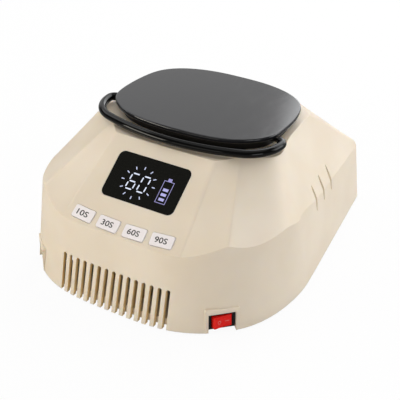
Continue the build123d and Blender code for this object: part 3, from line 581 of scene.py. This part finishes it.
def raised_shapes(outlines, low, high):
    """Flat closed outlines (each an array of x, y, anticlockwise) made into thin solids.

    Each outline of n corners gives 2n points, at height low and at height high, a face below,
    a face above, and n side faces that join corner i to corner i + 1.
    """
    flat, heights, faces = [], [], []
    start = 0
    for outline in outlines:
        outline = np.asarray(outline, float)
        count = len(outline)
        ring = np.arange(count)
        after = (ring + 1) % count
        flat += [outline, outline]
        heights += [np.full(count, low), np.full(count, high)]
        faces.append(start + ring[::-1])
        faces.append(start + count + ring)
        sides = np.stack([ring, after, after + count, ring + count], axis=1) + start
        faces += list(sides)
        start += 2 * count
    return np.concatenate(flat), np.concatenate(heights), faces


# %% [markdown]
# **The display.** Behind the smoked window a light panel shows the seconds left, a ring of ticks
# round them and the battery's state. The window is nearly opaque, so only what is lit is seen.
# A drawn texture could show them, but thin shapes at the window's face stay crisp from near by.
# First come the digits, each lit from its seven bars. The gaps at the ends of the upright bars
# are longer than those of the level ones, and all lean a little to the right.

# %% Digits
DIGIT_HALF_WIDTH = 2.5
DIGIT_HALF_HEIGHT = 5.15
DIGIT_LEAN = 0.08
BAR_WIDTH = 0.82
LEVEL_BAR_GAP = 0.3
UPRIGHT_BAR_GAP = 0.8
DISPLAY_MIDDLE = (-4.65, -26.85)
DIGIT_CENTRES = {"6": -8.65, "0": -0.65}
SEGMENTS = {"a": ((-1, 1), (1, 1)), "b": ((1, 1), (1, 0)), "c": ((1, 0), (1, -1)),
            "d": ((-1, -1), (1, -1)), "e": ((-1, 0), (-1, -1)), "f": ((-1, 1), (-1, 0)),
            "g": ((-1, 0), (1, 0))}
LEVEL_SEGMENTS = "adg"
LIT = {"6": "acdefg", "0": "abcdef"}


def bar(start, end, width, gap=0.0, chamfer=0.5):
    """A six-cornered bar from start to end: its ends narrow over a share of its width."""
    start, end = np.asarray(start, float), np.asarray(end, float)
    along = (end - start) / np.linalg.norm(end - start)
    side = np.array([-along[1], along[0]]) * width / 2
    start, end = start + gap * along, end - gap * along
    nose = along * width * chamfer
    return np.array([start, start + nose - side, end - nose - side,
                     end, end - nose + side, start + nose + side])


def digit_bars(digit):
    """The lit bars of one seven-bar digit, whose corners lean by a share of their height."""
    def corner(step):
        up = step[1] * DIGIT_HALF_HEIGHT
        across = DIGIT_CENTRES[digit] + step[0] * DIGIT_HALF_WIDTH + up * DIGIT_LEAN
        return (across, DISPLAY_MIDDLE[1] + up)
    return [bar(corner(SEGMENTS[name][0]), corner(SEGMENTS[name][1]), BAR_WIDTH,
                LEVEL_BAR_GAP if name in LEVEL_SEGMENTS else UPRIGHT_BAR_GAP)
            for name in LIT[digit]]


digits = digit_bars("6") + digit_bars("0")
print("digits:", len(digits), "lit bars")

# %% [markdown]
# **Ticks and battery.** The ticks stand round the digits like the hours of a clock, on a ring
# that is a little flatter than a circle. The battery is a thin frame of four lines with a tip on
# top and three bars inside, all plain boxes.

# %% Ticks and battery
TICK_COUNT = 12
TICK_INNER = 9.8
TICK_OUTER = 11.9
TICK_WIDTH = 0.62
TICK_SQUASH = 0.92
TICK_CHAMFER = 0.2
BATTERY_LEFT, BATTERY_RIGHT = 10.9, 17.9
BATTERY_LOW, BATTERY_HIGH = -34.8, -20.2
BATTERY_LINE = 0.38
BATTERY_TIP_LEFT, BATTERY_TIP_RIGHT = 13.1, 15.7
BATTERY_TIP_HEIGHT = 1.8
BATTERY_BAR_LEFT, BATTERY_BAR_RIGHT = 12.6, 16.2
BATTERY_BAR_HEIGHT = 1.75
BATTERY_BAR_LOWS = (-33.1, -29.95, -26.8)


def ticks():
    """Short bars from the inner to the outer radius, at even angles on the flattened ring."""
    angles = np.arange(TICK_COUNT) * 2 * math.pi / TICK_COUNT
    directions = np.stack([np.cos(angles), TICK_SQUASH * np.sin(angles)], axis=1)
    middle = np.array(DISPLAY_MIDDLE)
    return [bar(middle + TICK_INNER * d, middle + TICK_OUTER * d, TICK_WIDTH, 0.0, TICK_CHAMFER)
            for d in directions]


def box_outline(left, right, low, high):
    """The four corners of a box, anticlockwise."""
    return np.array([(left, low), (right, low), (right, high), (left, high)])


battery_case = [
    box_outline(BATTERY_LEFT, BATTERY_LEFT + BATTERY_LINE, BATTERY_LOW, BATTERY_HIGH),
    box_outline(BATTERY_RIGHT - BATTERY_LINE, BATTERY_RIGHT, BATTERY_LOW, BATTERY_HIGH),
    box_outline(BATTERY_LEFT, BATTERY_RIGHT, BATTERY_LOW, BATTERY_LOW + BATTERY_LINE),
    box_outline(BATTERY_LEFT, BATTERY_RIGHT, BATTERY_HIGH - BATTERY_LINE, BATTERY_HIGH),
    box_outline(BATTERY_TIP_LEFT, BATTERY_TIP_RIGHT, BATTERY_HIGH,
                BATTERY_HIGH + BATTERY_TIP_HEIGHT)]
battery_bars = [box_outline(BATTERY_BAR_LEFT, BATTERY_BAR_RIGHT, low, low + BATTERY_BAR_HEIGHT)
                for low in BATTERY_BAR_LOWS]
print("battery:", len(battery_case), "lines and", len(battery_bars), "bars")

# %% [markdown]
# **Light.** A lit shape is a dark plastic that sends out light of its own, so it looks the same
# in a dark room. The digits are nearly white, the ticks bluer and the battery violet, with its
# frame dimmer than its bars. A fine unevenness in each comes from the light guide behind.

# %% Lit shapes
LIT_LOW, LIT_HIGH = -0.05, 0.03
LIGHT_GUIDE_SIZE = 0.0009
LIGHT_GUIDE_CELLS = (0.2, 0.8)
LIGHT_SHADE = 0.86
UNLIT = (0.02, 0.02, 0.03)
UNLIT_ROUGHNESS = 0.3


def glow(name, colour, strength):
    """A lit finish: bright colour with a fine unevenness from the light guide."""
    finish = Finish(name)
    cells = finish.noise(LIGHT_GUIDE_SIZE, detail=1.0).smooth(*LIGHT_GUIDE_CELLS)
    lit = finish.mix(cells, colour, dimmed(colour, LIGHT_SHADE))
    return finish.plastic(UNLIT, UNLIT_ROUGHNESS, None, Emission_Color=lit,
                          Emission_Strength=strength)


def lit_shapes(name, outlines, light):
    """Thin lit shapes at the window's face, from outlines in the panel's own millimetres."""
    flat, heights, faces = raised_shapes(outlines, LIT_LOW, LIT_HIGH)
    make_piece(name, on_panel(flat, heights), faces, light, "lamp")


lit_shapes("display_digits", digits, glow("digit_light", (0.78, 0.84, 1.0), 1.05))
lit_shapes("display_ticks", ticks(), glow("tick_light", (0.66, 0.72, 0.98), 0.95))
lit_shapes("display_battery_case", battery_case, glow("outline_light", (0.40, 0.37, 0.74), 0.85))
lit_shapes("display_battery_bars", battery_bars, glow("battery_light", (0.50, 0.48, 0.88), 0.95))

# %% [markdown]
# **Smoked window.** A flat sheet of tinted acrylic, hard and glossy. Real tinted glass would need
# many rays to show the same black, so it is an opaque near-black gloss with a few specks of
# dust, and the faintest waves so that its reflections aren't perfectly straight.

# %% Smoked window
WINDOW_BLACK = (0.0075, 0.0075, 0.0062)
WINDOW_DUST = (0.03, 0.03, 0.028)
WINDOW_DUST_AMOUNT = 0.3
WINDOW_SPECK_SIZE = 0.0010
WINDOW_SPECKS = (0.72, 0.82)
WINDOW_WAVE_SIZE = 0.012
WINDOW_WAVE_DEPTH = 0.00001

window = Finish("smoked_window")
window_waves = window.noise(WINDOW_WAVE_SIZE, detail=1.0)
window_specks = window.noise(WINDOW_SPECK_SIZE, detail=1.0).smooth(*WINDOW_SPECKS)
window_shade = window.mix(WINDOW_DUST_AMOUNT * window_specks, WINDOW_BLACK, WINDOW_DUST)
window_plastic = window.plastic(window_shade, 0.07 + 0.05 * window_waves,
                                window.bump(window_waves, WINDOW_WAVE_DEPTH), IOR=1.5)
wear(window_plastic, ["display_lens"])

# %% [markdown]
# **Marks on the keys.** Each key carries its number of seconds, printed in dark ink by a pad. A
# text curve gives the outline of the figures, with a hair of thickness like a layer of ink. It is
# turned into a mesh while it still lies flat, measured, scaled to its real height, and only then
# laid on its key. The ink's underside sinks into the key a little, so that no gap shows.

# %% Ink and text
LABEL_HEIGHT = 3.6
LABEL_WIDTH = 8.2
LABEL_SHIFT = (-0.5, 0.0)
STROKE_SPREAD = 0.012
INK_THICKNESS = 0.03
INK_BITE = 0.02
INK_SPECKLE_SIZE = 0.0002
INK_WORN_DULLER = 0.1


def ink(name, colour, worn, roughness):
    """Printed ink: two shades in a fine speckle, which is a little rougher where it is worn."""
    finish = Finish(name)
    speckle = finish.noise(INK_SPECKLE_SIZE)
    return finish.plastic(finish.mix(speckle, colour, worn),
                          roughness + INK_WORN_DULLER * speckle, None, IOR=1.45)


def text_shape(words):
    """Vertices (x, y) and faces of some flat text, centred and scaled to one by one."""
    curve = bpy.data.curves.new("text", "FONT")
    curve.body = words
    curve.resolution_u = 4
    curve.offset = STROKE_SPREAD
    maker = bpy.data.objects.new("text", curve)
    mesh = bpy.data.meshes.new_from_object(maker)
    points = np.zeros(len(mesh.vertices) * 3)
    mesh.vertices.foreach_get("co", points)
    points = points.reshape(-1, 3)[:, :2]
    faces = [list(p.vertices) for p in mesh.polygons]
    bpy.data.objects.remove(maker)
    low, high = points.min(0), points.max(0)
    return (points - (low + high) / 2) / (high - low), faces


def closed_layer(flat, faces, low, high):
    """A flat sheet of faces given thickness: a copy above, a turned one below, walls on its rim."""
    count = len(flat)
    edges = dict.fromkeys((a, b) for face in faces for a, b in zip(face, face[1:] + face[:1]))
    rim = [(a, b) for a, b in edges if (b, a) not in edges]
    solid = [[i + count for i in face] for face in faces] + [face[::-1] for face in faces]
    solid += [[a, b, b + count, a + count] for a, b in rim]
    heights = np.concatenate([np.full(count, low), np.full(count, high)])
    return np.concatenate([flat, flat]), heights, solid


pad_ink = ink("pad_ink", (0.022, 0.019, 0.019), (0.045, 0.040, 0.040), 0.55)
print("ink:", pad_ink.name, INK_THICKNESS, "mm thick")

# %% [markdown]
# **Laying the numbers on their keys.** The keys stand in a shallow arc. A key at a step t along
# the row turns by a = asin(t / R) and lies R (1 - cos(a)) higher, and its number does the same.
# Each number rides on its own key, so it goes down with it when the key is pressed.

# %% Printed numbers
KEY_STEPS = {"10s": -27.9, "30s": -9.3, "60s": 9.3, "90s": 27.9}
KEY_ROW_X = -1.0
KEY_ROW_Y = -56.6
KEY_ARC_RADIUS = 330.0
KEY_PROUD = 0.5

for seconds, step in KEY_STEPS.items():
    flat, faces = text_shape(seconds.upper())
    flat = flat * (LABEL_WIDTH, LABEL_HEIGHT) + LABEL_SHIFT
    angle = math.asin(step / KEY_ARC_RADIUS)
    middle = (KEY_ROW_X + step, KEY_ROW_Y + KEY_ARC_RADIUS * (1.0 - math.cos(angle)))
    spin = np.array([[math.cos(angle), math.sin(angle)], [-math.sin(angle), math.cos(angle)]])
    flat, heights, faces = closed_layer(flat @ spin + middle, faces, KEY_PROUD - INK_BITE,
                                        KEY_PROUD + INK_THICKNESS)
    make_piece("key_number_" + seconds, on_panel(flat, heights), faces, pad_ink,
               "key_" + seconds)

# %% [markdown]
# **Marks on the rocker.** A ring for off and a line for on are printed on the two faces of the
# red rocker. The faces lean towards each other by five degrees, so each mark is drawn flat on
# its own face: `across` runs along the face and `out` is its normal, both turned from the
# rocker's own frame.

# %% Rocker marks
ROCKER_MIDDLE = np.array([64.91, -79.31, 8.0])
ROCKER_TURN = math.radians(56.0)
ROCKER_FACE = 2.3
ROCKER_DISH = math.radians(5.0)
UPRIGHT = np.array([0.0, 0.0, 1.0])
OFF_PLACE = -2.3
OFF_STEPS = 28
OFF_INNER, OFF_OUTER = 0.75, 1.02
OFF_TALLNESS = 1.2
ON_PLACE = 2.6
ON_HALF_LENGTH, ON_HALF_WIDTH = 1.3, 0.2


def ring_bars(count, inner, outer, tallness):
    """A ring as a closed run of four-cornered bars between two ellipses."""
    angle = np.arange(count + 1) * 2 * math.pi / count
    edge = np.stack([np.cos(angle), tallness * np.sin(angle)], axis=1)
    here, after = edge[:-1], edge[1:]
    return list(np.stack([inner * here, outer * here, outer * after, inner * after], axis=1))


def on_rocker(name, place, outlines, finish):
    """Marks on one face of the rocker, at a place along it whose sign picks the face."""
    along = np.array([math.cos(ROCKER_TURN), math.sin(ROCKER_TURN), 0.0])
    facing = np.array([math.sin(ROCKER_TURN), -math.cos(ROCKER_TURN), 0.0])
    lean = math.copysign(ROCKER_DISH, place)
    across = math.cos(lean) * along + math.sin(lean) * facing
    out = math.cos(lean) * facing - math.sin(lean) * along
    origin = ROCKER_MIDDLE + ROCKER_FACE * facing + place * across
    flat, heights, faces = raised_shapes(outlines, -INK_BITE, INK_THICKNESS)
    points = on_plane(flat, heights, origin, across, UPRIGHT, out)
    make_piece(name, points, faces, finish, "rocker")


mark_ink = ink("mark_ink", (0.80, 0.26, 0.24), (0.70, 0.17, 0.16), 0.45)
on_rocker("rocker_mark_off", OFF_PLACE,
          ring_bars(OFF_STEPS, OFF_INNER, OFF_OUTER, OFF_TALLNESS), mark_ink)
on_rocker("rocker_mark_on", ON_PLACE,
          [box_outline(-ON_HALF_LENGTH, ON_HALF_LENGTH, -ON_HALF_WIDTH, ON_HALF_WIDTH)], mark_ink)

# %% [markdown]
# **The floor.** A pale sheet that is white to the camera: Light Path tells what kind of ray has
# come, and for camera rays the floor mostly glows evenly, while for the rest it is plain diffuse
# paper that takes the lamp's shadow. Mirrors see a dimmer glow, because the black bail and neck
# would otherwise turn pale underneath.

# %% Floor
FLOOR_HALF = 6.0
FLOOR_GLOW = 0.94
FLOOR_MIRRORED = 0.30
FLOOR_CORNERS = ((-1, -1), (1, -1), (1, 1), (-1, 1))
PAPER = (0.80, 0.80, 0.80)
PAPER_PALE = (0.82, 0.82, 0.82)
PAPER_CLOUD_SIZE = 0.4
WHITE = (1.0, 1.0, 1.0, 1.0)


def backdrop_finish():
    """Diffuse floor, with light of its own that only the camera, mirrors and glass see."""
    finish = Finish("pale_floor")
    paper = finish.mix(finish.noise(PAPER_CLOUD_SIZE, detail=1.0), PAPER, PAPER_PALE)
    diffuse = finish.add("BsdfDiffuse", None, {"Color": paper})
    strength = 1.0 - (1.0 - FLOOR_MIRRORED) * finish.seen_by("Glossy")
    shine = finish.add("Emission", None, {"Color": WHITE, "Strength": strength})
    amount = FLOOR_GLOW * finish.seen_by("Camera", "Glossy", "Transmission")
    return finish.end(finish.add("MixShader", None, {0: amount, 1: diffuse, 2: shine}))


floor_mesh = bpy.data.meshes.new("floor")
floor_mesh.from_pydata([(x * FLOOR_HALF, y * FLOOR_HALF, 0.0) for x, y in FLOOR_CORNERS], [],
                       [(0, 1, 2, 3)])
floor_mesh.materials.append(backdrop_finish())
floor = bpy.data.objects.new("floor", floor_mesh)
bpy.context.scene.collection.objects.link(floor)
print("floor", 2 * FLOOR_HALF, "m square")

# %% [markdown]
# **The room.** Matt plastic is lit by everything round it, but a gloss surface shows one
# direction only: the flat cap mirrors the wall behind the lamp, and turns grey where that wall
# is bright, while the display window leans back, mirrors what is overhead and stays black. So
# matt surfaces get a soft light that grows with the height z of a direction, and mirrors see a
# dark room with one bright wall, where y is large and z isn't.

# %% Room
ROOM_TINT = (1.0, 0.985, 0.965, 1.0)
WALL_LIGHT = 0.15
CEILING_LIGHT = 0.40
CEILING_RISE = (0.0, 0.9)
DARK_GLOSS = 0.06
BACK_WALL_NEAR = (0.15, 0.60)
BACK_WALL_TOP = (0.58, 0.80)


def room(name):
    """World whose light grows with a direction's height, and for mirrors with the back wall."""
    sky = Finish(name, bpy.data.worlds.new(name))
    height = sky.place.part("Z")
    matt = WALL_LIGHT + (CEILING_LIGHT - WALL_LIGHT) * height.smooth(*CEILING_RISE)
    back_wall = sky.place.part("Y").smooth(*BACK_WALL_NEAR) * (1.0 - height.smooth(*BACK_WALL_TOP))
    mirror = DARK_GLOSS + (1.0 - DARK_GLOSS) * back_wall
    lit = sky.add("Background", None, {"Color": ROOM_TINT, "Strength": matt})
    mirrored = sky.add("Background", None, {"Color": WHITE, "Strength": mirror})
    plain = sky.add("Background", None, {"Color": WHITE, "Strength": 1.0})
    in_mirrors = sky.seen_by("Glossy", "Transmission")
    seen = sky.add("MixShader", None, {0: in_mirrors, 1: lit, 2: mirrored})
    return sky.end(sky.add("MixShader", None, {0: sky.seen_by("Camera"), 1: seen, 2: plain}),
                   "OutputWorld")


bpy.context.scene.world = room("studio")
print("room light from", WALL_LIGHT, "to", CEILING_LIGHT)

# %% [markdown]
# **The lamps.** Large square softboxes, as in a studio for small goods: the larger the box, the
# softer the shadow. Cool light from the right, left and back stands against a warm fill from the
# front and left, which gives the sand-coloured sides their slightly different tones. Each box
# looks along its own -Z, so it is turned to track the point that it is aimed at.

# %% Lamps
COOL = (0.97, 0.985, 1.0)
WARM = (1.0, 0.95, 0.84)
NEUTRAL = (1.0, 1.0, 1.0)
AIM = (0.0, 0.0, 0.04)
SOFTBOXES = (
    # name, place and width in metres, power in watts, tint
    ("right_softbox", (1.20, 0.65, 0.55), 0.8, 6.6, COOL),
    ("front_right_softbox", (1.25, -0.85, 0.20), 0.7, 4.0, COOL),
    ("left_softbox", (-1.10, 0.05, 1.00), 0.8, 4.0, COOL),
    ("back_softbox", (0.1, 1.3, 0.9), 1.4, 16.5, COOL),
    ("front_softbox", (-0.25, -1.40, 0.20), 0.7, 1.5, WARM),
    ("front_left_softbox", (-0.95, -1.10, 0.20), 0.7, 10.8, WARM),
    ("top_softbox", (-0.10, 0.10, 1.40), 1.4, 4.6, NEUTRAL),
)


def softbox(name, place, width, power, tint):
    """A square area lamp at a place, facing the nail lamp on the floor."""
    data = bpy.data.lights.new(name, "AREA")
    data.shape = "SQUARE"
    data.size = width
    data.energy = power
    data.color = tint
    box = bpy.data.objects.new(name, data)
    bpy.context.scene.collection.objects.link(box)
    box.location = place
    box.rotation_mode = "QUATERNION"
    box.rotation_quaternion = (Vector(place) - Vector(AIM)).to_track_quat("Z", "Y")
    print(name, power, "W")


for row in SOFTBOXES:
    softbox(*row)

# %% [markdown]
# ** The view.** The Standard view shows each colour about as it was written.

# %% View
bpy.context.scene.view_settings.view_transform = "Standard"
